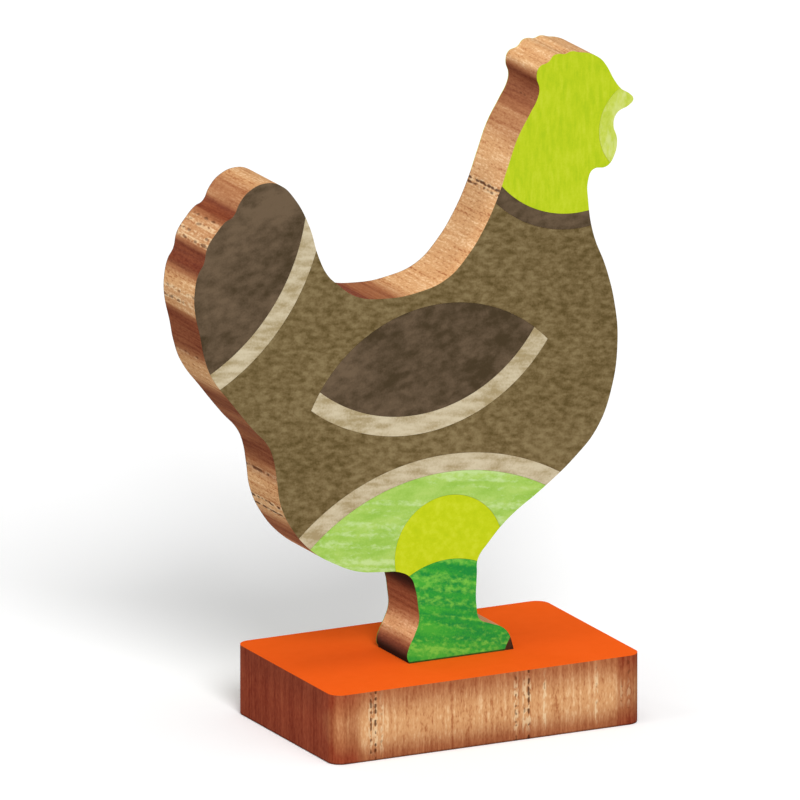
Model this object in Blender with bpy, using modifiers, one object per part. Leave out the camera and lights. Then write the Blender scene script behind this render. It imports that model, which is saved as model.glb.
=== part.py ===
"""Board hen on a block stand.

A hen sawn from thick board and faced on both sides with cut papers stands on a rounded
block with a coloured top. It lifts straight up off the two dowels that locate it.

The origin is the middle of the stand's underside and +Z is up. The hen looks along +X and
shows its front face to -Y. Named sizes are in metres; outline points are in millimetres,
as (x from the middle of the stand, height above the stand's top).
"""
import math

import bmesh
import bpy
from mathutils import Matrix, Vector

MM = 0.001

# Stand
BASE_LENGTH = 85.5 * MM
BASE_WIDTH = 54.5 * MM
BASE_HEIGHT = 18.0 * MM
BASE_CORNER_RADIUS = 3.5 * MM
TOP_SHEET_THICKNESS = 0.7 * MM

# Hen
BOARD_THICKNESS = 16.0 * MM
PAPER_THICKNESS = 0.3 * MM
HEN_Y = -1.0 * MM           # the hen's middle plane, a little in front of the stand's

# Dowels that locate the hen's foot on the stand
DOWEL_RADIUS = 2.5 * MM
DOWEL_SPACING = 8.0 * MM
DOWEL_MIDDLE_X = -2.0 * MM
DOWEL_IN_BASE = 10.0 * MM
DOWEL_IN_FOOT = 9.0 * MM
DOWEL_CHAMFER = 0.5 * MM

# Clearances
GLUE_LINE = 0.3 * MM        # between a facing and the wood that it covers
SEAM = 0.3 * MM             # between neighbouring papers
DOWEL_CLEARANCE = 0.3 * MM  # round a dowel and past its ends
SEAT_GAP = 0.3 * MM         # between the hen's sole and the stand

# The papers are cut along discs; points are in millimetres, like the outline's points.
# The tail, belly, thigh and leg are each placed by a point of their disc's edge, so that
# a new radius bends the edge and leaves it where it is.
HEAD_MIDDLE = (33.0, 137.0)
HEAD_RADIUS = 27.0 * MM
COLLAR_WIDTH = 4.0 * MM
BEAK_MIDDLE = (52.0, 130.0)
BEAK_RADIUS = 12.5 * MM
TAIL_EDGE = (-45.8, 104.4)
TAIL_EDGE_FACES = math.radians(-25.0)
TAIL_RADIUS = 51.0 * MM
TAIL_BAND_WIDTH = 5.0 * MM
BELLY_TOP = (-2.0, 48.0)
BELLY_RADIUS = 56.0 * MM
BELLY_BAND_WIDTH = 4.5 * MM
THIGH_TOP = (-2.0, 42.0)
THIGH_RADIUS = 15.0 * MM
LEG_TOP = (-2.0, 25.5)
LEG_RADIUS = 21.5 * MM
# The wing is a leaf, the overlap of two equal discs, with a band along its lower edge.
WING_MIDDLE = (-8.0, 77.5)
WING_HALF_LENGTH = 30.0 * MM
WING_HALF_WIDTH = 13.5 * MM
WING_BAND_WIDTH = 5.0 * MM
WING_TILT = math.radians(9.0)

# The hen's outline, walked clockwise as seen from the front. The sole closes it:
# it runs from the toe's tip to the heel at the height of the seat gap.
TOE_TIP_X = 16.0 * MM
HEEL_X = -13.0 * MM
HEEL_AND_SHANK = [(-13.5, 1.5), (-13.0, 4.0), (-11.5, 7.0), (-10.25, 10.5), (-10.5, 14.5),
                  (-11.25, 19.0), (-12.5, 22.0), (-16.0, 24.0)]
BELLY = [(-20.0, 24.5), (-27.0, 25.5), (-33.0, 28.0), (-40.0, 32.5), (-45.5, 39.0),
         (-48.5, 45.5), (-49.5, 52.0), (-50.5, 57.5), (-52.0, 61.0)]
TAIL_UNDERSIDE = [(-56.0, 65.5), (-62.0, 73.0), (-67.5, 80.5), (-69.5, 86.0), (-70.5, 91.0)]
TAIL_LOWER_LOBE = [(-72.0, 98.0), (-72.0, 102.5), (-71.0, 107.0), (-69.5, 109.5)]
TAIL_MIDDLE_LOBE = [(-68.5, 113.5), (-66.0, 117.0), (-63.5, 119.5), (-61.5, 120.5)]
TAIL_UPPER_LOBE = [(-59.5, 124.0), (-57.0, 126.5), (-52.5, 128.0), (-48.5, 127.0),
                   (-44.5, 123.0), (-40.5, 115.5), (-38.0, 107.5), (-35.5, 102.5)]
SADDLE = [(-33.0, 100.0), (-27.5, 96.0), (-19.5, 94.5), (-10.5, 95.0), (-2.5, 97.5),
          (3.5, 103.0), (8.0, 109.5)]
NAPE = [(11.5, 116.5), (14.5, 124.5), (17.0, 131.0), (20.5, 137.0), (22.5, 140.5),
        (23.0, 143.0)]
COMB = [(22.25, 146.0), (23.0, 148.5), (25.5, 149.5), (27.0, 151.0), (28.5, 151.25),
        (30.0, 151.0), (32.0, 151.5), (34.0, 151.0), (36.5, 150.5), (39.5, 149.0),
        (41.0, 147.5)]
BEAK = [(44.25, 142.0), (46.0, 140.0), (48.0, 138.75), (49.0, 137.25), (48.0, 136.0),
        (44.5, 134.25)]
WATTLE = [(43.5, 131.5), (44.5, 127.5), (43.75, 123.5), (41.75, 121.0), (37.75, 120.5)]
THROAT = [(36.5, 118.0), (36.5, 113.0), (38.0, 104.0)]
BREAST = [(41.5, 95.0), (44.0, 85.0), (44.75, 76.0), (43.0, 63.5), (39.0, 54.0),
          (33.0, 47.5), (24.0, 40.5), (14.5, 34.0), (9.0, 28.5), (6.0, 24.5)]
SHIN = [(5.75, 21.0), (5.75, 11.5), (6.5, 9.0)]
TOES = [(9.5, 7.5), (13.0, 6.0), (14.75, 4.0)]
OUTLINE_STEPS = 4           # straight steps from one outline point to the next

ARC_STEP = 2.5 * MM         # length of the straight steps round a disc's edge
CORNER_STEPS = 6
DOWEL_SIDES = 32
OVERSHOOT = 2.0 * MM        # how far a cutter runs past what it cuts
WELD_DISTANCE = 0.01 * MM
SHARP_ANGLE = math.radians(30.0)
UPWARD = math.radians(90.0)

COLOURS = {
    "bare_wood": (196, 128, 84),
    "stand_wood": (176, 110, 70),
    "dowel_wood": (214, 176, 130),
    "orange": (236, 94, 24),
    "lime": (186, 208, 36),
    "pale_lime": (196, 215, 110),
    "olive": (112, 97, 62),
    "brown": (92, 76, 60),
    "cream": (200, 185, 150),
    "yellow_green": (195, 212, 32),
    "light_green": (165, 205, 90),
    "grass_green": (50, 160, 50),
}
WOOD_ROUGHNESS = 0.6
PAPER_ROUGHNESS = 0.8


def linear(value):
    """Turn one 0-255 screen colour value into the linear value that a shader takes."""
    value = value / 255.0
    if value <= 0.04045:
        return value / 12.92
    return ((value + 0.055) / 1.055) ** 2.4


def material(name, colour, roughness):
    """Make a material of one of the named colours."""
    made = bpy.data.materials.new(name)
    made.use_nodes = True
    shader = made.node_tree.nodes["Principled BSDF"]
    rgb = [linear(value) for value in COLOURS[colour]]
    shader.inputs["Base Color"].default_value = (*rgb, 1.0)
    shader.inputs["Roughness"].default_value = roughness
    shader.inputs["Metallic"].default_value = 0.0
    made.diffuse_color = (*rgb, 1.0)
    return made


def add_part(name, mesh, colour, roughness, parent=None):
    """Put a mesh in the hen's collection as a named piece with a material of its own."""
    piece = bpy.data.objects.new(name, mesh)
    parts.objects.link(piece)
    piece.parent = parent
    mesh.materials.clear()
    mesh.materials.append(material(name, colour, roughness))
    return piece


def add_cutter(name, mesh):
    """Put a mesh in the cutters' collection, drawn as wire and never rendered."""
    cutter = bpy.data.objects.new(name, mesh)
    cutters.objects.link(cutter)
    cutter.display_type = "WIRE"
    cutter.hide_render = True
    return cutter


def boolean(piece, operation, cutter):
    """Cut, or keep, what a cutter covers."""
    modifier = piece.modifiers.new(f"{operation.lower()} {cutter.name}", "BOOLEAN")
    modifier.operation = operation
    modifier.object = cutter
    modifier.solver = "EXACT"


def mesh_from(name, edit):
    """Store a bmesh under a name."""
    mesh = bpy.data.meshes.new(name)
    edit.to_mesh(mesh)
    edit.free()
    return mesh


def cylinder(name, radius, length, sides, turn, middle):
    """A closed cylinder along Z, turned and then moved to its middle."""
    edit = bmesh.new()
    bmesh.ops.create_cone(edit, cap_ends=True, segments=sides, radius1=radius,
                          radius2=radius, depth=length)
    bmesh.ops.transform(edit, matrix=Matrix.Translation(middle) @ turn, verts=edit.verts)
    return mesh_from(name, edit)


def rounded_block(name, low, high):
    """A block of the stand's plan between two heights, its upright corners rounded."""
    edit = bmesh.new()
    bmesh.ops.create_cube(edit, size=1.0)
    size = Matrix.Diagonal((BASE_LENGTH, BASE_WIDTH, high - low, 1.0))
    place = Matrix.Translation((0.0, 0.0, (low + high) / 2))
    bmesh.ops.transform(edit, matrix=place @ size, verts=edit.verts)
    upright = [edge for edge in edit.edges
               if (edge.verts[0].co.xy - edge.verts[1].co.xy).length < WELD_DISTANCE]
    bmesh.ops.bevel(edit, geom=upright, offset=BASE_CORNER_RADIUS, segments=CORNER_STEPS,
                    affect="EDGES", profile=0.5)
    return mesh_from(name, edit)


def hen_slab(name, thickness):
    """A slab of the hen's outline, in the XZ plane, half its thickness on each side."""
    round_points = (HEEL_AND_SHANK + BELLY + TAIL_UNDERSIDE + TAIL_LOWER_LOBE
                    + TAIL_MIDDLE_LOBE + TAIL_UPPER_LOBE + SADDLE + NAPE + COMB + BEAK
                    + WATTLE + THROAT + BREAST + SHIN + TOES)
    sole = [(TOE_TIP_X, SEAT_GAP), (HEEL_X, SEAT_GAP)]
    points = sole + [(x * MM, z * MM) for x, z in round_points]
    curve = bpy.data.curves.new(name, "CURVE")
    curve.dimensions = "2D"
    curve.fill_mode = "BOTH"
    curve.extrude = thickness / 2
    curve.resolution_u = OUTLINE_STEPS
    spline = curve.splines.new("BEZIER")
    spline.use_cyclic_u = True
    spline.bezier_points.add(len(points) - 1)
    for index, (knot, point) in enumerate(zip(spline.bezier_points, points)):
        handle = "VECTOR" if index < len(sole) else "AUTO"
        knot.co = (*point, 0.0)
        knot.handle_left_type = handle
        knot.handle_right_type = handle
    drawn = bpy.data.objects.new(name, curve)
    drawn.rotation_euler = (math.radians(90.0), 0.0, 0.0)
    cutters.objects.link(drawn)
    bpy.context.view_layer.update()
    evaluated = drawn.evaluated_get(bpy.context.evaluated_depsgraph_get())
    mesh = bpy.data.meshes.new_from_object(evaluated)
    edit = bmesh.new()
    edit.from_mesh(mesh)
    bmesh.ops.transform(edit, matrix=drawn.matrix_world, verts=edit.verts)
    bmesh.ops.remove_doubles(edit, verts=edit.verts, dist=WELD_DISTANCE)
    bmesh.ops.recalc_face_normals(edit, faces=edit.faces)
    edit.to_mesh(mesh)
    edit.free()
    bpy.data.objects.remove(drawn)
    mesh.name = name
    return mesh


def disc_middle(edge_point, faces, radius):
    """The middle of a disc whose edge passes through a point and faces an angle there."""
    outward = Vector((math.cos(faces), math.sin(faces)))
    return Vector(edge_point) * MM - outward * radius


def paper_shapes():
    """Each shape that papers are cut to, as the discs that all cover it."""
    wing_middle = Vector(WING_MIDDLE) * MM
    across = Vector((-math.sin(WING_TILT), math.cos(WING_TILT)))
    leaf_radius = (WING_HALF_LENGTH ** 2 + WING_HALF_WIDTH ** 2) / (2 * WING_HALF_WIDTH)
    offset = across * (leaf_radius - WING_HALF_WIDTH)
    upper_edge = (wing_middle - offset, leaf_radius)
    lower_edge = (wing_middle + offset, leaf_radius)
    band_edge = (wing_middle + offset, leaf_radius + WING_BAND_WIDTH)
    head = Vector(HEAD_MIDDLE) * MM
    tail = disc_middle(TAIL_EDGE, TAIL_EDGE_FACES, TAIL_RADIUS)
    belly = disc_middle(BELLY_TOP, UPWARD, BELLY_RADIUS)
    return {
        "beak": [(Vector(BEAK_MIDDLE) * MM, BEAK_RADIUS)],
        "head": [(head, HEAD_RADIUS)],
        "collar": [(head, HEAD_RADIUS + COLLAR_WIDTH)],
        "wing": [upper_edge, lower_edge],
        "wing_band": [upper_edge, band_edge],
        "leg": [(disc_middle(LEG_TOP, UPWARD, LEG_RADIUS), LEG_RADIUS)],
        "thigh": [(disc_middle(THIGH_TOP, UPWARD, THIGH_RADIUS), THIGH_RADIUS)],
        "belly": [(belly, BELLY_RADIUS)],
        "belly_band": [(belly, BELLY_RADIUS + BELLY_BAND_WIDTH)],
        "tail": [(tail, TAIL_RADIUS)],
        "tail_band": [(tail, TAIL_RADIUS + TAIL_BAND_WIDTH)],
    }


# Each paper: its colour, and the shapes that are cut out of it for its neighbours.
PAPERS = {
    "beak": ("pale_lime", []),
    "head": ("lime", ["beak"]),
    "collar": ("brown", ["head"]),
    "wing": ("brown", []),
    "wing_band": ("cream", ["wing"]),
    "leg": ("grass_green", []),
    "thigh": ("yellow_green", ["leg"]),
    "belly": ("light_green", ["thigh", "leg"]),
    "belly_band": ("cream", ["belly"]),
    "tail": ("brown", []),
    "tail_band": ("cream", ["tail"]),
    "body": ("olive", ["collar", "wing_band", "belly_band", "tail_band"]),
}


def shape_cutter(name, discs, grow):
    """A prism through the whole hen, over the overlap of discs made larger by grow."""
    length = BOARD_THICKNESS + 2 * (GLUE_LINE + PAPER_THICKNESS + OVERSHOOT)
    turn = Matrix.Rotation(math.radians(90.0), 4, "X")
    prisms = []
    for number, (middle, radius) in enumerate(discs):
        radius = radius + grow
        sides = round(2 * math.pi * radius / ARC_STEP)
        place = (middle.x, 0.0, middle.y)
        mesh = cylinder(f"{name}_{number}", radius, length, sides, turn, place)
        prism = add_cutter(f"{name}_{number}", mesh)
        prism.parent = figure_lift
        prisms.append(prism)
    for other in prisms[1:]:
        boolean(prisms[0], "INTERSECT", other)
    return prisms[0]


def add_dowels():
    """The two dowels and the cutters for their holes; returns the cutters."""
    low = BASE_HEIGHT - DOWEL_IN_BASE
    high = BASE_HEIGHT + SEAT_GAP + DOWEL_IN_FOOT
    hole_length = high - low + 2 * DOWEL_CLEARANCE
    hole_cutters = []
    for name, side in (("rear", -1), ("front", 1)):
        middle = (DOWEL_MIDDLE_X + side * DOWEL_SPACING / 2, HEN_Y, (low + high) / 2)
        upright = Matrix.Identity(4)
        mesh = cylinder(f"{name}_dowel", DOWEL_RADIUS, high - low, DOWEL_SIDES, upright,
                        (0.0, 0.0, 0.0))
        mesh.shade_smooth()
        mesh.set_sharp_from_angle(angle=SHARP_ANGLE)
        dowel = add_part(f"{name}_dowel", mesh, "dowel_wood", WOOD_ROUGHNESS)
        dowel.location = middle
        ease = dowel.modifiers.new("eased ends", "BEVEL")
        ease.width = DOWEL_CHAMFER
        ease.segments = 1
        ease.limit_method = "ANGLE"
        ease.angle_limit = SHARP_ANGLE
        hole = cylinder(f"{name}_dowel_hole", DOWEL_RADIUS + DOWEL_CLEARANCE, hole_length,
                        DOWEL_SIDES, upright, middle)
        hole_cutters.append(add_cutter(f"{name}_dowel_hole", hole))
    return hole_cutters


def add_stand(hole_cutters):
    """The wooden block and the coloured sheet on its top, bored for the dowels."""
    block_top = BASE_HEIGHT - TOP_SHEET_THICKNESS - GLUE_LINE
    sheet_bottom = BASE_HEIGHT - TOP_SHEET_THICKNESS
    block = add_part("base_block", rounded_block("base_block", 0.0, block_top),
                     "stand_wood", WOOD_ROUGHNESS)
    sheet = add_part("base_top_sheet",
                     rounded_block("base_top_sheet", sheet_bottom, BASE_HEIGHT),
                     "orange", PAPER_ROUGHNESS)
    for piece in (block, sheet):
        for cutter in hole_cutters:
            boolean(piece, "DIFFERENCE", cutter)


def add_board(hole_cutters):
    """The sawn board of the hen, its foot bored for the dowels."""
    board = add_part("figure_board", hen_slab("figure_board", BOARD_THICKNESS),
                     "bare_wood", WOOD_ROUGHNESS, figure_lift)
    for cutter in hole_cutters:
        boolean(board, "DIFFERENCE", cutter)


def add_papers():
    """The cut papers on both faces: each keeps its own shape, less its neighbours'."""
    shapes = paper_shapes()
    kept = {name: shape_cutter(f"keep_{name}", discs, -SEAM / 2)
            for name, discs in shapes.items()}
    cut = {name: shape_cutter(f"cut_{name}", discs, SEAM / 2)
           for name, discs in shapes.items()}
    slab = hen_slab("paper_slab", PAPER_THICKNESS)
    face = BOARD_THICKNESS / 2 + GLUE_LINE + PAPER_THICKNESS / 2
    for side, y in (("front", -face), ("back", face)):
        for name, (colour, neighbours) in PAPERS.items():
            paper = add_part(f"{side}_{name}_paper", slab.copy(), colour, PAPER_ROUGHNESS,
                             figure_lift)
            paper.location.y = y
            if name in kept:
                boolean(paper, "INTERSECT", kept[name])
            for neighbour in neighbours:
                boolean(paper, "DIFFERENCE", cut[neighbour])


def new_collection(name):
    """A collection in the scene."""
    collection = bpy.data.collections.new(name)
    bpy.context.scene.collection.children.link(collection)
    return collection


for leftover in list(bpy.data.objects):
    bpy.data.objects.remove(leftover)

parts = new_collection("board_hen")
cutters = new_collection("cutters")

# The hen and all that is on it hang from this empty, which slides up +Z off the dowels.
figure_lift = bpy.data.objects.new("figure_lift", None)
figure_lift.location = (0.0, HEN_Y, BASE_HEIGHT)
parts.objects.link(figure_lift)

holes = add_dowels()
add_stand(holes)
add_board(holes)
add_papers()
bpy.context.view_layer.update()
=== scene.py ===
# %% [markdown]
# # A board hen on its block stand
#
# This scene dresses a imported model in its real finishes: a hen sawn from thick board, faced
# with cut papers on both sides, on a rounded wooden block with an orange top. The packed
# model is the frame. It says how large each piece is and which body carries it, so every
# measure that the frame knows is read from it, and only the looks are added here.

# %% The frame
import math

import bmesh
import bpy
from mathutils import Matrix, Vector


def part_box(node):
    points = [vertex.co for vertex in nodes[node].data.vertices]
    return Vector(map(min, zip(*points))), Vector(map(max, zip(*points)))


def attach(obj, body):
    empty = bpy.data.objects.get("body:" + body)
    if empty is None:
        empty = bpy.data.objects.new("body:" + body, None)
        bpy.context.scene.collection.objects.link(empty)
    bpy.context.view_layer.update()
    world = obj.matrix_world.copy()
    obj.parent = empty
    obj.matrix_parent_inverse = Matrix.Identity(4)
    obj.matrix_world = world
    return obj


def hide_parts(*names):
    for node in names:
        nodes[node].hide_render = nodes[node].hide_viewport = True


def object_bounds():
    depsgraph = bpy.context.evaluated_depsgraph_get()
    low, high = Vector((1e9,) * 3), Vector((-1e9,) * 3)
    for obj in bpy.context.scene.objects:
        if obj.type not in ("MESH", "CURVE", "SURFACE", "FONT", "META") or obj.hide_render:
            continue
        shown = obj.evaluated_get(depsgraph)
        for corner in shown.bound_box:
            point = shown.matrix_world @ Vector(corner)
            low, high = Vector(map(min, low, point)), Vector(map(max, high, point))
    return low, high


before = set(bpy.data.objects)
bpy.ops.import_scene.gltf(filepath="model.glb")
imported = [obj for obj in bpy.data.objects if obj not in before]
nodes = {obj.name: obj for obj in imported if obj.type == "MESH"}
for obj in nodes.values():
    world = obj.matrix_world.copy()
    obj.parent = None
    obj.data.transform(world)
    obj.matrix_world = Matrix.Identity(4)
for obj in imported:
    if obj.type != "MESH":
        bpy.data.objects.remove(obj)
MM = 0.001
cad_low, cad_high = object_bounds()
print("CAD box in mm:", [round(side / MM, 1) for side in cad_high - cad_low])

# %% [markdown]
# ## The camera
#
# In the photo, opposite edges of the block stay parallel, so it was taken from far away. A
# very long lens copies that and, unlike an orthographic camera, still frames other views
# well. The block's edges give the direction, and one known point, the middle of the block's
# top, gives the aim: the camera looks at whatever lies in the middle of the photo.

# %% The camera
AZIMUTH = math.radians(-26.7)            # from the front, towards the tail's side
ELEVATION = math.radians(15.6)
PHOTO_SIDE = 800                         # pixels
PHOTO_MIDDLE = Vector((PHOTO_SIDE / 2, PHOTO_SIDE / 2))
BLOCK_TOP_PIXEL = Vector((438.7, 647.7))
PIXELS_PER_METRE = 4034.0
LENS = 1500.0                            # in mm, like the sensor
SENSOR = 36.0

block_top = Vector((0.0, 0.0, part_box("base_top_sheet")[1].z))
towards_camera = Vector((math.sin(AZIMUTH) * math.cos(ELEVATION),
                         -math.cos(AZIMUTH) * math.cos(ELEVATION),
                         math.sin(ELEVATION)))
facing = (-towards_camera).to_track_quat("-Z", "Y")
right, up = facing @ Vector((1, 0, 0)), facing @ Vector((0, 1, 0))
shift = (PHOTO_MIDDLE - BLOCK_TOP_PIXEL) / PIXELS_PER_METRE
aim = block_top + right * shift.x - up * shift.y
distance = PHOTO_SIDE / PIXELS_PER_METRE * LENS / SENSOR

camera = bpy.data.objects.new("camera", bpy.data.cameras.new("camera"))
bpy.context.scene.collection.objects.link(camera)
camera.data.lens = LENS
camera.data.sensor_width = SENSOR
camera.data.clip_start = distance / 10
camera.data.clip_end = distance * 10
camera.rotation_mode = "QUATERNION"
camera.rotation_quaternion = facing
camera.location = aim + towards_camera * distance
bpy.context.scene.camera = camera
bpy.context.scene.view_settings.view_transform = "Standard"
print("The camera stands", round(distance, 2), "m away")

# %% [markdown]
# ## Arithmetic for materials
#
# A material is a net of nodes. Written out node by node it is long and hard to read, so one
# small class wraps a socket and lets `1 - mask` or `fine * 0.4 + coarse` add the Math nodes.
# A second class holds the material and adds every other node through one method.

# %% A socket that takes part in expressions
class Wire:
    """One output socket of a material. Arithmetic on it adds Math nodes."""

    def __init__(self, finish, socket):
        self.finish = finish
        self.socket = socket

    def __add__(self, other):
        return self.finish.maths("ADD", self, other)

    def __sub__(self, other):
        return self.finish.maths("SUBTRACT", self, other)

    def __rsub__(self, other):
        return self.finish.maths("SUBTRACT", other, self)

    def __mul__(self, other):
        return self.finish.maths("MULTIPLY", self, other)

    __radd__ = __add__
    __rmul__ = __mul__


# %% A material that nodes are added to
def ink(red, green, blue):
    """A screen colour, 0 to 255, as the linear colour that a shader takes."""
    def linear(value):
        value = value / 255
        return value / 12.92 if value <= 0.04045 else ((value + 0.055) / 1.055) ** 2.4
    return (linear(red), linear(green), linear(blue), 1.0)


MATT_GLOSS = 0.03          # mirror strength of bare wood and paper
RELIEF_DEPTH = 0.1 * MM
MIX_FACTOR, MIX_FIRST, MIX_SECOND, MIX_RESULT = 0, 6, 7, 2   # a Mix node's colour sockets
SOLID_CORE = 0.2           # share of a spot's reach within which it is at full strength


class Finish:
    """A material in the making, with helpers for the nodes that these finishes use."""

    def __init__(self, name):
        self.material = bpy.data.materials.new(name)
        self.material.use_nodes = True
        self.tree = self.material.node_tree
        self.shader = self.tree.nodes["Principled BSDF"]
        self.place = self.node("ShaderNodeTexCoord").outputs["Object"]

    def node(self, kind, settings=None, sockets=None):
        """Add a node, then its settings, then the values or wires of its sockets."""
        made = self.tree.nodes.new(kind)
        for name, value in (settings or {}).items():
            setattr(made, name, value)
        for name, value in (sockets or {}).items():
            self.fill(made.inputs[name], value)
        return made

    def fill(self, socket, value):
        """Give a socket a value, or link a wire or an output to it."""
        if isinstance(value, Wire):
            value = value.socket
        if isinstance(value, bpy.types.NodeSocket):
            self.tree.links.new(value, socket)
        else:
            socket.default_value = value

    def maths(self, operation, first, second=0.0, clamp=False):
        """A Math node on wires or numbers."""
        made = self.node("ShaderNodeMath", {"operation": operation, "use_clamp": clamp},
                         {0: first, 1: second})
        return Wire(self, made.outputs[0])

    def step(self, value, low, high):
        """0 below low, 1 above high, and a smooth rise between; low may be the larger."""
        made = self.node("ShaderNodeMapRange", {"interpolation_type": "SMOOTHSTEP"},
                         {"Value": value, "From Min": low, "From Max": high})
        return Wire(self, made.outputs["Result"])

    def mix(self, factor, first, second):
        """From the first colour to the second as the factor goes from 0 to 1."""
        made = self.node("ShaderNodeMix", {"data_type": "RGBA"},
                         {MIX_FACTOR: factor, MIX_FIRST: first, MIX_SECOND: second})
        return Wire(self, made.outputs[MIX_RESULT])

    def stretched(self, scale, turn=0.0):
        """The place on the object, turned in the plane of the hen and scaled."""
        turned = self.node("ShaderNodeVectorRotate", {"rotation_type": "Y_AXIS"},
                           {"Vector": self.place, "Angle": turn})
        made = self.node("ShaderNodeVectorMath", {"operation": "MULTIPLY"},
                         {0: turned.outputs[0], 1: scale})
        return made.outputs[0]

    def noise(self, scale, detail, roughness=0.6, turn=0.0):
        """Smooth random values round 0.5, with so many waves per metre along each axis."""
        made = self.node("ShaderNodeTexNoise", None,
                         {"Vector": self.stretched(scale, turn), "Scale": 1.0,
                          "Detail": detail, "Roughness": roughness})
        return Wire(self, made.outputs[0])

    def axis(self, letter):
        """The place along one axis, in metres."""
        parts = self.node("ShaderNodeSeparateXYZ", None, {0: self.place})
        return Wire(self, parts.outputs[letter])

    def near(self, x, z, reach):
        """1 on a line through the hen at x and z, fading out over its reach."""
        apart = self.node("ShaderNodeVectorMath", {"operation": "MULTIPLY"},
                          {0: self.place, 1: (1.0, 0.0, 1.0)})
        made = self.node("ShaderNodeVectorMath", {"operation": "DISTANCE"},
                         {0: apart.outputs[0], 1: (x, 0.0, z)})
        return self.step(Wire(self, made.outputs["Value"]), reach, reach * SOLID_CORE)

    def strongest(self, masks):
        """At each place, the largest of some masks."""
        total = masks[0]
        for mask in masks[1:]:
            total = self.maths("MAXIMUM", total, mask)
        return total

    def done(self, colour, roughness, height=None, relief=0.0, gloss=MATT_GLOSS):
        """Wire the colour, roughness and relief to the shader and return the material."""
        self.fill(self.shader.inputs["Base Color"], colour)
        self.fill(self.shader.inputs["Roughness"], roughness)
        self.shader.inputs["Specular IOR Level"].default_value = gloss
        if height is not None:
            bump = self.node("ShaderNodeBump", None,
                             {"Strength": relief, "Distance": RELIEF_DEPTH,
                              "Height": height})
            self.fill(self.shader.inputs["Normal"], bump.outputs[0])
        return self.material


# %% [markdown]
# ## The light and the floor
#
# The photo is lit plainly: the colours show as they are, and the hen throws one soft shadow
# backwards. A broad front sun, close to the camera's direction, lights the papers and makes the
# shadow. One from above lifts the tops, and two low ones, from the tail's side and from behind
# it, lift the sawn rim. Area lamps could do this too, but a sun lights all parts alike wherever
# it stands, so its direction and spread are all there is to find. A white world fills in the
# rest: it is dim as a light, but the camera sees it at full strength. The floor is made in the
# same way. It looks white to the camera and so vanishes into the background, but it keeps the
# shadow and throws little light back up.

# %% The world
WORLD_LIGHT = 0.3
WHITE = (1.0, 1.0, 1.0, 1.0)

world = bpy.data.worlds.new("studio")
bpy.context.scene.world = world
world.use_nodes = True
background = world.node_tree.nodes["Background"]
rays = world.node_tree.nodes.new("ShaderNodeLightPath")
seen = rays.outputs["Is Camera Ray"]
for ray in ("Is Glossy Ray", "Is Transmission Ray"):
    either = world.node_tree.nodes.new("ShaderNodeMath")
    either.operation = "MAXIMUM"
    world.node_tree.links.new(seen, either.inputs[0])
    world.node_tree.links.new(rays.outputs[ray], either.inputs[1])
    seen = either.outputs[0]
level = world.node_tree.nodes.new("ShaderNodeMapRange")
level.inputs["To Min"].default_value = WORLD_LIGHT
level.inputs["To Max"].default_value = 1.0
world.node_tree.links.new(seen, level.inputs["Value"])
world.node_tree.links.new(level.outputs["Result"], background.inputs["Strength"])
background.inputs["Color"].default_value = WHITE
print("World light:", WORLD_LIGHT)


# %% The suns
def sun(name, azimuth, elevation, strength, spread):
    """A lamp that shines from a direction in degrees; a large spread makes soft shadows."""
    lamp = bpy.data.objects.new(name, bpy.data.lights.new(name, "SUN"))
    bpy.context.scene.collection.objects.link(lamp)
    azimuth, elevation = math.radians(azimuth), math.radians(elevation)
    source = Vector((math.sin(azimuth) * math.cos(elevation),
                     -math.cos(azimuth) * math.cos(elevation), math.sin(elevation)))
    lamp.rotation_mode = "QUATERNION"
    lamp.rotation_quaternion = (-source).to_track_quat("-Z", "Y")
    lamp.data.energy = strength
    lamp.data.angle = math.radians(spread)


sun("front sun", azimuth=-14, elevation=35, strength=2.5, spread=24)
sun("top sun", azimuth=-18, elevation=80, strength=0.75, spread=40)
sun("tail side sun", azimuth=-85, elevation=6, strength=0.7, spread=10)
sun("back sun", azimuth=200, elevation=6, strength=0.9, spread=10)
print("Suns:", len(bpy.data.lights))

# %% The floor
FLOOR_SIDE = 6.0
FLOOR_DROP = 0.02 * MM     # below the block, so that the two don't flicker
FLOOR_BOUNCE = 0.4         # how light the floor is for rays that aren't the camera's
FLOOR_GLOW = 0.03          # lifts the shadow a little

floor_mesh = bpy.data.meshes.new("floor")
edit = bmesh.new()
bmesh.ops.create_grid(edit, x_segments=1, y_segments=1, size=FLOOR_SIDE / 2)
edit.to_mesh(floor_mesh)
edit.free()
floor = bpy.data.objects.new("floor", floor_mesh)
floor.location.z = cad_low.z - FLOOR_DROP
bpy.context.scene.collection.objects.link(floor)
floor_finish = Finish("white floor")
camera_ray = floor_finish.node("ShaderNodeLightPath").outputs["Is Camera Ray"]
bounce = (FLOOR_BOUNCE, FLOOR_BOUNCE, FLOOR_BOUNCE, 1.0)
floor_colour = floor_finish.mix(camera_ray, bounce, WHITE)
floor_finish.shader.inputs["Emission Color"].default_value = WHITE
floor_finish.shader.inputs["Emission Strength"].default_value = FLOOR_GLOW
floor_mesh.materials.append(floor_finish.done(floor_colour, 1.0, gloss=0.0))
print("Floor at", round(floor.location.z / MM, 2), "mm")
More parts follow.
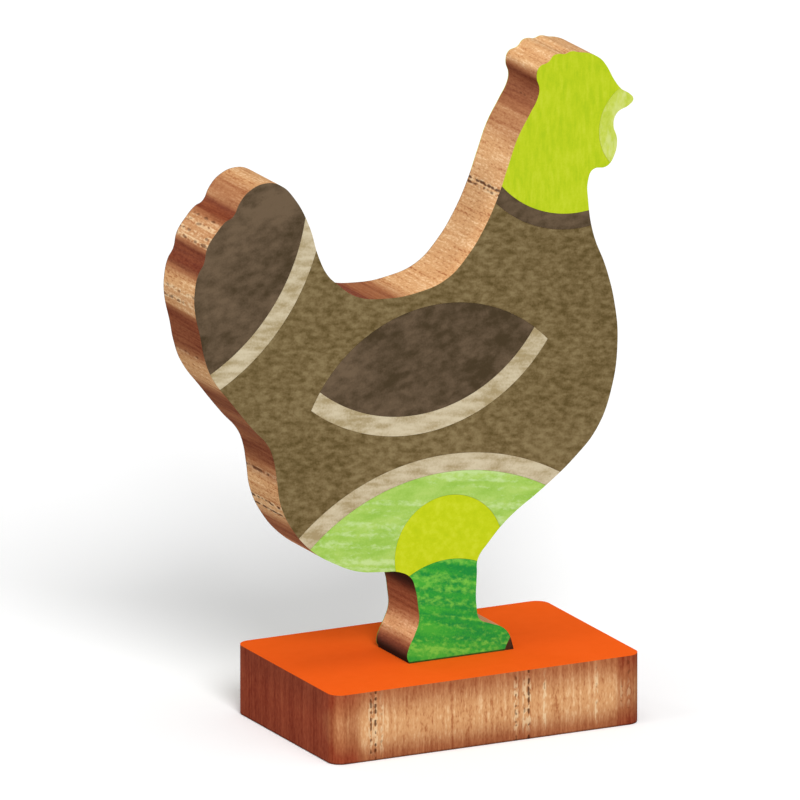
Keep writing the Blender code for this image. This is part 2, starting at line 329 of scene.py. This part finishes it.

# %% [markdown]
# ## Wood
#
# Board and block are the same open-pored reddish wood, sawn so that the fibres run across the
# hen's rim and upright on the block. A picture of wood wrapped round them would stretch and show
# seams. Noises are worked out at each place in space instead, so the grain runs through the
# wood and fits every face. The trick for fibres is to stretch a noise: many waves per metre
# across them and few along them. Three such noises give broad bands, streaks and dashes, and
# are added up in different shares for bare and for burnt wood. Where the saw dwelt, the wood is
# scorched to brown, then burnt to dark red-brown; the same browns also paint the shade in the
# rim's hollows. A near-black paints shade under the belly and where hen and block touch what
# they stand on, and darkens the upper half of the block's ends. A few rows of open pores, with
# pale flecks beside them, run along the fibres.

# %% Wood finish
BLOCK_TONES = {"bare": (ink(180, 114, 70), ink(217, 160, 109), ink(238, 194, 146)),
               "scorched": (ink(148, 80, 48), ink(186, 120, 78)),
               "burnt": (ink(119, 41, 21), ink(161, 78, 50))}
# On the rim, the scorched and burnt tones also paint the shade in its hollows.
RIM_TONES = {"bare": (ink(172, 108, 64), ink(215, 164, 113), ink(242, 203, 157)),
             "scorched": (ink(144, 84, 50), ink(178, 120, 80)),
             "burnt": (ink(98, 38, 20), ink(138, 74, 46))}
# The near-black of painted shade
SHADE_INK = ink(36, 18, 9)
PORE = ink(74, 34, 14)
FLECK = ink(240, 208, 164)
BROAD_WAVES = (90, 9)            # waves per metre across and along the fibres
STREAK_WAVES = (1000, 50)
DASH_WAVES = (2400, 800)
FLECK_WAVES = (1400, 500)
PORE_WAVES_ACROSS = 900
BARE_SHARES = (0.45, 1.4, 1.2)   # of broad bands, streaks and dashes
BURNT_SHARES = (1.6, 1.3, 1.1)
FLECK_EDGES = (0.44, 0.58)       # values of the noise where a fleck begins and is full
PORE_EDGES = (0.36, 0.58)
PORE_HOLD = 0.42                 # how far pores are held back outside the rows


def along_fibres(fibre, across, along):
    """Waves per metre on each axis, for fibres that run along the named axis."""
    return tuple(along if letter == fibre else across for letter in "XYZ")


def mingled(noises, shares):
    """Noises added up by their shares into one tone round 0.5."""
    tone = 0.5
    for noise, share in zip(noises, shares):
        tone = tone + (noise - 0.5) * share
    return tone


def wood(finish, fibre, tones, scorch_and_shade=0.0, painted_shade=0.0, rows=0.0, pores_per_metre=1200):
    """Fill a finish with wood whose fibres run along an axis.

    The first mask browns and then burns it, as scorch and as painted shade; the second mask
    blackens it with painted shade, and pores open where rows nears 1.
    """
    broad = finish.noise(along_fibres(fibre, *BROAD_WAVES), detail=2)
    streak = finish.noise(along_fibres(fibre, *STREAK_WAVES), detail=2)
    dash = finish.noise(along_fibres(fibre, *DASH_WAVES), detail=1)
    tone = mingled((broad, streak, dash), BARE_SHARES)
    char = mingled((broad, streak, dash), BURNT_SHARES)

    # Bare wood goes from dark through middle to light as the tone rises.
    dark, middle, light = tones["bare"]
    colour = finish.mix(finish.step(tone, 0.0, 0.5), dark, middle)
    colour = finish.mix(finish.step(tone, 0.5, 1.0), colour, light)

    # The first half of the burn scorches it and the second half burns it, dark streaks first.
    # On the rim the same burn also paints the shade in its hollows.
    burn_and_shade = scorch_and_shade * (1.2 - streak * 0.4)
    scorched = finish.mix(tone, *tones["scorched"])
    burnt = finish.mix(char, *tones["burnt"])
    colour = finish.mix(finish.maths("MULTIPLY", burn_and_shade, 2.0, clamp=True), colour, scorched)
    colour = finish.mix(finish.maths("MULTIPLY", burn_and_shade - 0.5, 2.0, clamp=True), colour, burnt)

    # Flecks lie in the rows, on wood that isn't scorched. A few faint pores are everywhere,
    # since the rows only let more of them through and darken them.
    flecks = finish.noise(along_fibres(fibre, *FLECK_WAVES), detail=1)
    flecks = finish.step(flecks, *FLECK_EDGES) * finish.step(rows, 0.0, 0.15) * 0.7
    flecks = flecks * (1 - finish.step(scorch_and_shade, 0.1, 0.6))
    drops = finish.noise(along_fibres(fibre, PORE_WAVES_ACROSS, pores_per_metre), detail=0)
    pores = finish.step(drops - (1 - rows) * PORE_HOLD, *PORE_EDGES)
    colour = finish.mix(flecks, colour, FLECK)
    colour = finish.mix(pores * (rows * rows * 0.7 + 0.2), colour, PORE)
    # Painted shade: near-black where its mask is set.
    colour = finish.mix(painted_shade, colour, SHADE_INK)
    height = streak * 0.5 + dash * 0.5 - pores * 1.5
    return finish.done(colour, 0.6 + 0.2 * streak, height, relief=0.3)


# %% [markdown]
# ## Where the board is scorched
#
# The rim is darkest in its hollows: the notches between the tail's lobes, under the comb,
# behind the leg and at the heel. This darkening is partly scorch and partly painted shade. Such
# marks could be painted on the mesh, but that needs a fine mesh. Here each dark place is a point
# on the outline with a reach and a strength, and where several overlap, the strongest counts.
# The near-black painted shade and the rows of pores are placed in the same way.

# %% Scorched and shaded places of the rim
# Scorch together with painted shade: the rim is darkened in its hollows and under overhangs.
RIM_SCORCH_AND_SHADE = [  # x, height above the block, reach in mm, strength
    (22.5, 143.5, 5.0, 0.90),    # under the comb, and the neck below it
    (21.5, 140.0, 8.0, 0.75),
    (17.5, 135.0, 9.0, 0.35),
    (-54.0, 128.0, 5.0, 0.10),   # tail: top lobe, and under it
    (-58.5, 124.5, 6.0, 0.45),
    (-62.0, 120.5, 4.0, 1.10),
    (-63.5, 119.5, 3.5, 0.60),   # middle lobe
    (-66.5, 116.0, 7.0, 0.25),
    (-69.5, 109.0, 6.0, 1.10),   # under the middle lobe
    (-72.0, 98.5, 4.0, 0.15),    # lowest lobe, and under it
    (-71.0, 93.0, 4.5, 1.00),
    (-70.0, 89.0, 8.0, 0.90),
    (-60.5, 71.0, 9.0, 0.80),    # tail's underside
    (-54.0, 63.5, 9.0, 0.85),
    (-50.5, 58.0, 7.0, 0.85),    # notch between tail and belly
    (-49.5, 52.5, 3.0, 0.40),    # belly
    (-43.5, 35.0, 8.0, 0.70),
    (-28.0, 26.0, 14.0, 0.70),
    (-27.0, 96.0, 10.0, 1.00),   # tail's end of the saddle
    (-21.5, 94.5, 11.0, 0.65),
    (-12.0, 21.0, 7.0, 1.10),    # back of the leg
    (-11.0, 18.0, 12.0, 0.85),
    (-13.0, 1.0, 6.5, 1.10),     # heel
    (6.0, 19.0, 9.0, 0.80),      # front of the leg
    (9.5, 7.5, 3.5, 0.30),       # top of the toe
    (25.0, 41.5, 9.0, 0.60),     # breast
    (44.0, 72.0, 9.0, 0.40),
    (36.0, 118.0, 6.0, 0.80),    # under the wattle and the beak
    (44.5, 134.0, 4.0, 0.70),
]
# Painted shade, near-black: under the belly behind the leg, and where the heel and the toe meet
# the block.
RIM_PAINTED_SHADE = [
    (-12.0, 22.0, 6.5, 0.95),    # back of the leg, under the belly
    (-13.0, 0.5, 4.0, 1.00),     # heel, against the block
    (16.0, 0.5, 8.0, 0.95),      # tip of the toe
]
RIM_PORES = [  # x, height, reach, strength
    (11.5, 117.0, 0.8, 1.0),     # low on the neck
    (12.0, 118.0, 0.8, 1.0),
    (22.0, 140.0, 0.7, 0.8),     # under the comb
    (22.5, 142.0, 0.7, 0.8),
    (-64.5, 118.5, 0.8, 0.8),    # middle lobe of the tail
    (-66.0, 117.0, 0.8, 0.7),
    (-67.5, 115.0, 0.8, 0.8),
    (-68.5, 113.5, 0.8, 0.8),
    (-72.0, 101.0, 0.8, 0.7),    # lowest lobe of the tail
    (-72.0, 98.5, 0.8, 0.8),
    (-69.0, 84.5, 0.8, 0.7),
    (-49.5, 52.0, 0.8, 0.9),     # belly
    (-47.0, 42.0, 0.8, 1.0),
    (-48.0, 44.0, 0.8, 1.0),
]


def rim_mask(finish, places):
    """A mask of spots on the rim."""
    return finish.strongest([finish.near(x * MM, height * MM + block_top.z, reach * MM) * strength
                             for x, height, reach, strength in places])


rim_finish = Finish("sawn rim")
# The rim's scorch comes with painted shade in its hollows, and its near-black marks are painted
# shade.
rim_wood = wood(rim_finish, "Y", RIM_TONES, rim_mask(rim_finish, RIM_SCORCH_AND_SHADE),
                rim_mask(rim_finish, RIM_PAINTED_SHADE), rim_mask(rim_finish, RIM_PORES),
                pores_per_metre=500)
print("Scorched places on the rim:", len(RIM_SCORCH_AND_SHADE) + len(RIM_PAINTED_SHADE))

# %% [markdown]
# ## Where the block is scorched and shaded
#
# The block's ends are dark red-brown, less so at their front corners. Its long sides are pale
# in the middle and browner towards the ends and along the top and bottom edges; at the tail's
# end the brown deepens downwards. Each part of the mask is a smooth step along one axis times
# its own strength, and the parts add up. A near-black line along the foot is painted shade where
# the block meets the floor, and the upper half of the ends is darkened.

# %% Scorched edges of the block, and its painted shade
BLOCK_PORES = [  # x, reach, strength
    (-32.5, 0.8, 0.9), (-31.2, 0.8, 1.0), (-29.5, 0.7, 0.6), (7.7, 0.8, 0.8),
    (10.0, 0.7, 0.65), (11.2, 0.8, 1.0), (15.6, 0.6, 0.55), (30.0, 0.6, 0.4),
    (37.2, 0.7, 0.6), (39.0, 0.7, 0.55)]
HEAD_END_BROWN = 0.39            # strengths of the parts
TAIL_END_BROWN = 0.32
TAIL_FOOT_BROWN = 0.16
END_SCORCH = 0.6
TOP_SCORCH = 0.52
LOW_SCORCH = 0.7
MOST_SCORCH = 1.1
# painted shade along the foot, where the block meets the floor
FOOT_SHADE_LINE = 0.45
END_DARKENING = 0.2

block_low, block_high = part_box("base_block")
block_finish = Finish("block wood")
head_x = block_finish.axis("X")
tail_x = 0 - head_x
side_x = block_finish.maths("ABSOLUTE", head_x)
front_y = 0 - block_finish.axis("Y")
height = block_finish.axis("Z")


def towards(edge, place, begin, full):
    """0 until begin mm before an edge, then a smooth rise to 1 at full mm before it."""
    return block_finish.step(place, edge - begin * MM, edge - full * MM)


def below(begin, full):
    """0 above begin mm over the foot, then a smooth rise to 1 down at full mm."""
    return block_finish.step(height, begin * MM, full * MM)


def row_of_pores(x, reach):
    """1 on an upright line of the block, fading out over its reach."""
    return block_finish.step(block_finish.maths("ABSOLUTE", head_x - x * MM), reach * MM, 0.0)


near_head = towards(block_high.x, head_x, 8.5, 5.5)
near_tail = towards(block_high.x, tail_x, 8.5, 5.5)
end = towards(block_high.x, side_x, 1.2, 0.2)
corner = towards(block_high.y, front_y, 9, 1)
tail_brown = below(14, 6) * TAIL_FOOT_BROWN + TAIL_END_BROWN
block_scorch = (near_head * HEAD_END_BROWN + near_tail * tail_brown
                + end * (1 - corner * 0.5) * END_SCORCH
                + towards(block_top.z, height, 8.5, 0) * TOP_SCORCH
                + below(7.4, -1.4) * LOW_SCORCH)
block_scorch = block_finish.maths("MINIMUM", block_scorch, MOST_SCORCH)

upper_half = block_finish.step(height, 8 * MM, 17 * MM)
# A painted shade line along the foot, where the block meets the floor, and a darker upper half of
# the ends.
block_shade_and_darkening = below(0.7, 0.2) * FOOT_SHADE_LINE + end * (1 - corner) * upper_half * END_DARKENING
block_rows = block_finish.strongest([row_of_pores(x, reach) * strength
                                     for x, reach, strength in BLOCK_PORES])
block_wood = wood(block_finish, "Z", BLOCK_TONES, block_scorch, block_shade_and_darkening,
                  block_rows * (1 - end))
dowel_wood = wood(Finish("dowel wood"), "Z", RIM_TONES)
print("Rows of pores on the block:", len(BLOCK_PORES))

# %% [markdown]
# ## Papers
#
# The hen's faces are a collage of matt papers. Each paper has its own fibre: upright brush
# marks on the lime, felted pulp on the olive and brown, marbling on the cream, crayon rubbed
# over the greens. Each could be a material of its own making, but one recipe with other numbers
# is shorter and keeps them alike: a base colour moved towards a darker and a lighter one by
# three noises, for fibres, a fine grain and broad clouds, and a slight relief. Stretch and turn
# give the fibres their direction. The leg's paper is darkened with painted shade where it meets
# the block.

# %% Paper finish
# The colour of the painted shade at the leg's foot
CONTACT_SHADE = ink(44, 40, 14)
PAPER_ROUGHNESS = 0.9
CLOUD_WAVES = (60, 60, 80)       # waves per metre along each axis
FINE_WAVES = (1900, 1900, 1900)
DARK_EDGES = (0.05, -0.25)       # tones where the darker colour begins and is full
LIGHT_EDGES = (-0.05, 0.25)


def paper(name, base, dark, light, grain, turn=0.0, contrast=1.0, patches=0.3, relief=0.25):
    """Matt paper: grain is the waves per metre across and along its fibres.

    Patches is how strongly broad clouds join the fibres.
    """
    finish = Finish(name)
    across, along = grain
    turn = math.radians(turn)
    fibres = finish.noise((along, along, across), 2, 0.5, turn)
    clouds = finish.noise(CLOUD_WAVES, 3, 0.6, turn)
    fine = finish.noise(FINE_WAVES, 2, 0.6)
    tone = ((fibres - 0.5) + (fine - 0.5) * 0.4) * contrast + (clouds - 0.5) * patches
    colour = finish.mix(finish.step(tone, *DARK_EDGES), base, dark)
    colour = finish.mix(finish.step(tone, *LIGHT_EDGES), colour, light)
    height = fibres + fine * 0.5
    return finish, colour, height, relief


def plain(parts):
    """Finish a paper that has no marks over its fibres."""
    finish, colour, height, relief = parts
    return finish.done(colour, PAPER_ROUGHNESS, height, relief)


def crayoned(parts, colour_over, bands, strokes, turn, low, high, strength, contact_shade=0.0):
    """Finish a paper with crayon rubbed over it in soft bands of broken strokes.

    Bands and strokes are waves per metre across and along. Low and high are the values of
    their mean where the crayon begins and is full, and the last mask darkens the paper with
    painted shade.
    """
    finish, colour, height, relief = parts
    turn = math.radians(turn)
    band = finish.noise((bands[1], bands[1], bands[0]), 1, 0.5, turn)
    stroke = finish.noise((strokes[1], strokes[1], strokes[0]), 3, 0.6, turn)
    mask = finish.step(band * 0.5 + stroke * 0.5, low, high) * strength
    colour = finish.mix(mask, colour, colour_over)
    # Painted shade where its mask is set.
    colour = finish.mix(contact_shade, colour, CONTACT_SHADE)
    return finish.done(colour, PAPER_ROUGHNESS, height + mask * 0.5, relief)


leg_parts = paper("grass green paper", ink(50, 154, 54), ink(34, 136, 58), ink(70, 168, 56),
                  (330, 60), -12, contrast=1.4)
leg_finish = leg_parts[0]
# Painted shade along the foot of the leg, where it meets the block.
leg_contact_shade = leg_finish.step(leg_finish.axis("Z"), block_top.z + 0.6 * MM,
                           block_top.z + 0.3 * MM) * 0.85
paper_finishes = {
    "lime": plain(paper("lime paper", ink(185, 203, 33), ink(172, 196, 30),
                        ink(194, 209, 48), (240, 1000), contrast=0.8)),
    "pale lime": crayoned(paper("pale lime paper", ink(196, 210, 84), ink(184, 201, 64),
                                ink(205, 215, 112), (500, 900), contrast=0.7),
                          ink(215, 223, 146), (60, 260), (260, 800), 0, 0.48, 0.64, 0.6),
    "olive": plain(paper("olive pulp", ink(116, 98, 64), ink(92, 76, 43),
                         ink(136, 119, 83), (740, 400), -10, contrast=0.85, patches=0.35)),
    "brown": plain(paper("brown pulp", ink(92, 76, 58), ink(70, 57, 39),
                         ink(108, 90, 70), (560, 340), 10, contrast=0.6, patches=1.1)),
    "cream": plain(paper("cream paper", ink(190, 175, 143), ink(164, 146, 108),
                         ink(206, 193, 163), (620, 170), -6)),
    "yellow green": plain(paper("yellow green paper", ink(190, 205, 27), ink(180, 198, 24),
                                ink(202, 214, 50), (500, 500), contrast=0.6)),
    "light green": crayoned(paper("light green paper", ink(161, 199, 90), ink(148, 190, 76),
                                  ink(174, 206, 104), (420, 160), patches=0.15),
                            ink(200, 224, 158), (560, 22), (1100, 560), -9, 0.47, 0.66, 0.65),
    "grass green": crayoned(leg_parts, ink(122, 196, 72), (430, 14), (1100, 700), -12,
                            0.47, 0.66, 0.85, leg_contact_shade),
    "orange": plain(paper("orange facing", ink(240, 94, 21), ink(237, 92, 19),
                          ink(242, 97, 25), (300, 300), contrast=0.4, relief=0.05)),
}
print("Papers:", ", ".join(paper_finishes))

# %% [markdown]
# ## The hen's outline
#
# The frame's board is faceted, and its outline's corners would show. They are points on a
# smooth curve, so the fine outline is a spline through them. The points could be typed in
# again, but read from the frame they always agree with it. They are found on the
# board's front face: an edge that belongs to one front triangle only is on the outline, and
# following such edges gives the order. A corner sharper than the limit stays a corner.

# %% Read the outline from the frame
SAME_LEVEL = 0.01 * MM
CORNER_ANGLE = math.radians(35)
SPLINE_STEPS = 4
METRE_DECIMALS = 7         # finer than any two corners of the board lie apart


def face_outline(node):
    """The outline of a node's front face, as (x, z) points in order."""
    mesh = node.data
    front = min(vertex.co.y for vertex in mesh.vertices)
    keys = [(round(v.co.x, METRE_DECIMALS), round(v.co.z, METRE_DECIMALS))
            for v in mesh.vertices]
    sides = set()
    for face in mesh.polygons:
        if any(mesh.vertices[i].co.y > front + SAME_LEVEL for i in face.vertices):
            continue
        corners = [keys[i] for i in face.vertices]
        sides.update(zip(corners, corners[1:] + corners[:1]))
    follow = {start: end for start, end in sides if (end, start) not in sides}
    outline = [min(follow)]
    while follow[outline[-1]] != outline[0]:
        outline.append(follow[outline[-1]])
    return [Vector(point) for point in outline]


def smooth_outline(points, steps):
    """A spline through the points of a closed outline, with its sharp corners kept."""
    count = len(points)

    def is_corner(i):
        before = points[i] - points[i - 1]
        after = points[(i + 1) % count] - points[i]
        return before.angle(after) > CORNER_ANGLE

    def slope(i):
        return (points[(i + 1) % count] - points[i - 1]) / 2

    smooth = []
    for i in range(count):
        j = (i + 1) % count
        chord = points[j] - points[i]
        leave = chord if is_corner(i) else slope(i)
        arrive = chord if is_corner(j) else slope(j)
        for step in range(steps):
            t = step / steps
            smooth.append(points[i] * (2 * t ** 3 - 3 * t ** 2 + 1)
                          + leave * (t ** 3 - 2 * t ** 2 + t)
                          + points[j] * (3 * t ** 2 - 2 * t ** 3)
                          + arrive * (t ** 3 - t ** 2))
    return smooth


cad_outline = face_outline(nodes["figure_board"])
outline = smooth_outline(cad_outline, SPLINE_STEPS)
print("Outline:", len(cad_outline), "points in the frame,", len(outline), "in the spline")

# %% [markdown]
# ## Slabs
#
# Board, papers, block and block facing are all slabs: an outline drawn through a thickness. An
# extruded curve would do for most of them. One helper makes them from rings of points instead,
# because a ring can be set in a little where an edge is eased. Others cut a slab with Booleans,
# make the rods that cut it, and dress the finished piece.

# %% Slab helper
SHARP_ANGLE = math.radians(32)


def inset(points, by):
    """A closed outline moved inwards, whichever way round it runs."""
    if by == 0:
        return points
    count = len(points)
    area = sum(points[i - 1].cross(points[i]) for i in range(count))
    side = by if area > 0 else -by
    moved = []
    for i in range(count):
        along = (points[(i + 1) % count] - points[i - 1]).normalized()
        moved.append(points[i] + Vector((-along.y, along.x)) * side)
    return moved


def slab(name, points, levels, lying=False):
    """A closed slab: levels are (place through the thickness, inset) pairs.

    It stands in the hen's plane, or lies flat if lying is set.
    """
    edit = bmesh.new()
    rings = []
    for level, by in levels:
        ring = []
        for u, v in inset(points, by):
            ring.append(edit.verts.new((u, v, level) if lying else (u, level, v)))
        rings.append(ring)
    for lower, upper in zip(rings, rings[1:]):
        for i in range(len(points)):
            edit.faces.new((lower[i - 1], lower[i], upper[i], upper[i - 1]))
    edit.faces.new(rings[0])
    edit.faces.new(rings[-1])
    bmesh.ops.recalc_face_normals(edit, faces=edit.faces)
    mesh = bpy.data.meshes.new(name)
    edit.to_mesh(mesh)
    edit.free()
    mesh.shade_smooth()
    mesh.set_sharp_from_angle(angle=SHARP_ANGLE)
    piece = bpy.data.objects.new(name, mesh)
    bpy.context.scene.collection.objects.link(piece)
    return piece


# %% Cutting helpers
HOLE_SIDES = 96


def cut(piece, operation, cutters):
    """Apply Booleans to a piece, one for each cutter."""
    for cutter in cutters:
        modifier = piece.modifiers.new(operation.lower(), "BOOLEAN")
        modifier.operation = operation
        modifier.object = cutter
        modifier.solver = "EXACT"
    bpy.context.view_layer.update()
    evaluated = piece.evaluated_get(bpy.context.evaluated_depsgraph_get())
    mesh = bpy.data.meshes.new_from_object(evaluated)
    mesh.set_sharp_from_angle(angle=SHARP_ANGLE)
    piece.modifiers.clear()
    piece.data = mesh


def rod(name, radius, low, high, sides=HOLE_SIDES):
    """A cylinder between two points, as a cutter."""
    edit = bmesh.new()
    low, high = Vector(low), Vector(high)
    bmesh.ops.create_cone(edit, cap_ends=True, segments=sides, radius1=radius,
                          radius2=radius, depth=(high - low).length)
    turn = (high - low).to_track_quat("Z", "Y").to_matrix().to_4x4()
    bmesh.ops.transform(edit, matrix=Matrix.Translation((low + high) / 2) @ turn,
                        verts=edit.verts)
    mesh = bpy.data.meshes.new(name)
    edit.to_mesh(mesh)
    edit.free()
    cutter = bpy.data.objects.new(name, mesh)
    bpy.context.scene.collection.objects.link(cutter)
    return cutter


# %% Dressing helper
def dress(piece, body, node_names, finish):
    """Put a finish on a piece, hang it on its body and let it stand for its nodes."""
    piece.data.materials.clear()
    piece.data.materials.append(finish)
    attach(piece, body)
    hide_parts(*node_names)


# %% [markdown]
# ## The board
#
# The hen is one thick board, and its sawn rim shows all round. The board carries the papers,
# so it stops short of the hen's full thickness by one paper on each side. The frame keeps a gap
# under it, so its sole is drawn down almost to the block. Two holes in the sole take the
# dowels; they show when the hen is lifted, so they are cut with a Boolean and not painted.

# %% The board and its dowel holes
PAPER = 0.15 * MM
HOLE_CLEARANCE = 0.3 * MM
SOLE_DROP = 0.25 * MM      # most of the gap that the frame keeps over the block
DOWELS = ("rear_dowel", "front_dowel")

front_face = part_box("front_body_paper")[0].y
back_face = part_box("back_body_paper")[1].y
sole = min(point.y for point in outline)
outline = [Vector((p.x, p.y - SOLE_DROP if p.y < sole + SAME_LEVEL else p.y))
           for p in outline]

hole_cutters = []
for name in DOWELS:
    low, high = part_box(name)
    middle = (low + high) / 2
    radius = (high.x - low.x) / 2 + HOLE_CLEARANCE
    hole_cutters.append(rod(name + " hole", radius,
                            (middle.x, middle.y, low.z - HOLE_CLEARANCE),
                            (middle.x, middle.y, high.z + HOLE_CLEARANCE)))

board = slab("board", outline, [(front_face + PAPER, 0), (back_face - PAPER, 0)])
cut(board, "DIFFERENCE", hole_cutters)
dress(board, "hen", ["figure_board"], rim_wood)
print("Board:", len(board.data.polygons), "faces")

# %% [markdown]
# ## The papers' shapes
#
# The hen's faces are laid with cut papers: head, beak, collar, wing, tail, belly, thigh and
# leg, with pale bands between them. They could be patches of colour in one material, but real
# sheets meet in seams that catch the light. Their edges are arcs, so every shape is a disc, or
# a leaf for the wing and its band.

# %% The papers' shapes
SEAM = 0.06 * MM
DISCS = {  # x, height above the block, radius, all in mm
    "beak": (52.0, 130.0, 12.5),
    "head": (33.0, 137.0, 27.0),
    "collar": (33.0, 137.0, 31.0),
    "leg": (-2.0, 4.0, 21.5),
    "bare_toe": (32.1, -7.1, 20.0),      # the leg's paper ends short of the toe's tip
    "thigh": (-2.0, 27.0, 15.0),
    "belly": (-2.0, -8.0, 56.0),
    "belly_band": (-2.0, -8.0, 60.5),
    "tail": (-92.0, 126.0, 51.0),
    "tail_band": (-92.0, 126.0, 56.0),
}
WING_MIDDLE = Vector((-8.0, 77.5))
WING_HALF_LENGTH = 30.0
WING_HALF_WIDTH = 13.5
WING_BAND = 5.0
WING_TILT = math.radians(9)
DISC_SIDES = 360

# A leaf is where two equal discs overlap. Their radius follows from its length and width.
leaf = (WING_HALF_LENGTH ** 2 + WING_HALF_WIDTH ** 2) / (2 * WING_HALF_WIDTH)
across = Vector((-math.sin(WING_TILT), math.cos(WING_TILT))) * (leaf - WING_HALF_WIDTH)
shapes = {name: [disc] for name, disc in DISCS.items()}
shapes["wing"] = [(*(WING_MIDDLE - across), leaf), (*(WING_MIDDLE + across), leaf)]
shapes["wing_band"] = [(*(WING_MIDDLE - across), leaf),
                       (*(WING_MIDDLE + across), leaf + WING_BAND)]


def shape_cutters(name, grow):
    """The discs of a shape as cutters through the whole hen, made larger by grow."""
    cutters = []
    for x, height, radius in shapes[name]:
        x, z = x * MM, height * MM + block_top.z
        cutters.append(rod(name, radius * MM + grow, (x, 2 * front_face, z),
                           (x, 2 * back_face, z), DISC_SIDES))
    return cutters


print("Shapes:", ", ".join(shapes))

# %% [markdown]
# ## Laying the papers
#
# Every paper is the hen's outline, kept inside its own shape and less the shapes that lie over
# it, so papers never overlap and their outer edges follow the board's. The seams are hair
# lines: a shape is made smaller by half a seam where it is kept, and larger by as much where it
# cuts. The back is laid like the front.

# %% Cut and lay the papers
PAPERS = {  # colour, and the shapes that are cut out of it
    "beak": ("pale lime", []),
    "head": ("lime", ["beak"]),
    "collar": ("brown", ["head"]),
    "wing": ("brown", []),
    "wing_band": ("cream", ["wing"]),
    "leg": ("grass green", ["bare_toe"]),
    "thigh": ("yellow green", ["leg"]),
    "belly": ("light green", ["thigh", "leg"]),
    "belly_band": ("cream", ["belly"]),
    "tail": ("brown", []),
    "tail_band": ("cream", ["tail"]),
    "body": ("olive", ["collar", "wing_band", "belly_band", "tail_band"]),
}

inside, over = {}, {}      # for each shape: what keeps its own paper, and what cuts others
spare = list(hole_cutters)
for name in shapes:
    inside[name] = shape_cutters(name, -SEAM / 2)
    discs = shape_cutters(name, SEAM / 2)
    if len(discs) > 1:
        cut(discs[0], "INTERSECT", discs[1:])
    over[name] = discs[0]
    spare += inside[name] + discs

for side, near_face, far_face in (("front", front_face, front_face + PAPER),
                                  ("back", back_face - PAPER, back_face)):
    for name, (colour, above) in PAPERS.items():
        sheet = slab(f"{side}_{name}", outline, [(near_face, 0), (far_face, 0)])
        if name in shapes:
            cut(sheet, "INTERSECT", inside[name])
        if above:
            cut(sheet, "DIFFERENCE", [over[other] for other in above])
        dress(sheet, "hen", [f"{side}_{name}_paper"], paper_finishes[colour])
print("Papers laid:", 2 * len(PAPERS))

# %% [markdown]
# ## The stand
#
# The block is a rounded rectangle in plan. A bevelled box would give one too, but a plan of
# points gives block and facing the same corners exactly. Its length, width and height come
# from the frame, and so does the corner's radius: it is how far the straight of a long side
# stops short of the block's end. The underside's edge is eased, and the facing on top is cut
# flush.

# %% The block and its facing
CORNER_STEPS = 24
EASE = 0.35 * MM           # how far the lower edge is rounded off
straight = max(v.co.x for v in nodes["base_block"].data.vertices
               if v.co.y > block_high.y - SAME_LEVEL)
corner_radius = block_high.x - straight


def block_outline():
    """The block's plan, with fine round corners."""
    points = []
    for quarter in range(4):
        sign_x = 1 if quarter in (0, 3) else -1
        sign_y = 1 if quarter in (0, 1) else -1
        middle = Vector((sign_x * (block_high.x - corner_radius),
                         sign_y * (block_high.y - corner_radius)))
        for step in range(CORNER_STEPS + 1):
            angle = math.radians(90) * (quarter + step / CORNER_STEPS)
            points.append(middle + Vector((math.cos(angle), math.sin(angle))) * corner_radius)
    return points


plan = block_outline()
facing_bottom = block_top.z - PAPER
block = slab("block", plan, [(block_low.z, EASE), (block_low.z + EASE / 3, EASE / 3),
                             (block_low.z + EASE, 0), (facing_bottom, 0)], lying=True)
facing_sheet = slab("orange_facing", plan, [(facing_bottom, 0), (block_top.z, 0)], lying=True)
for piece in (block, facing_sheet):
    cut(piece, "DIFFERENCE", hole_cutters)
dress(block, "stand", ["base_block"], block_wood)
dress(facing_sheet, "stand", ["base_top_sheet"], paper_finishes["orange"])
print("Corner radius in mm:", round(corner_radius / MM, 2))

# %% [markdown]
# ## The dowels
#
# Two short dowels stand in the block and hold the hen by its foot. The frame's dowels have the
# right shape already, so they stay and only get a finish. The cutters have done their work and
# are cleared away.

# %% Dowels, and clear the bench
for name in DOWELS:
    nodes[name].data.materials.clear()
    nodes[name].data.materials.append(dowel_wood)
for cutter in spare:
    bpy.data.objects.remove(cutter)
print("Cutters cleared away:", len(spare))
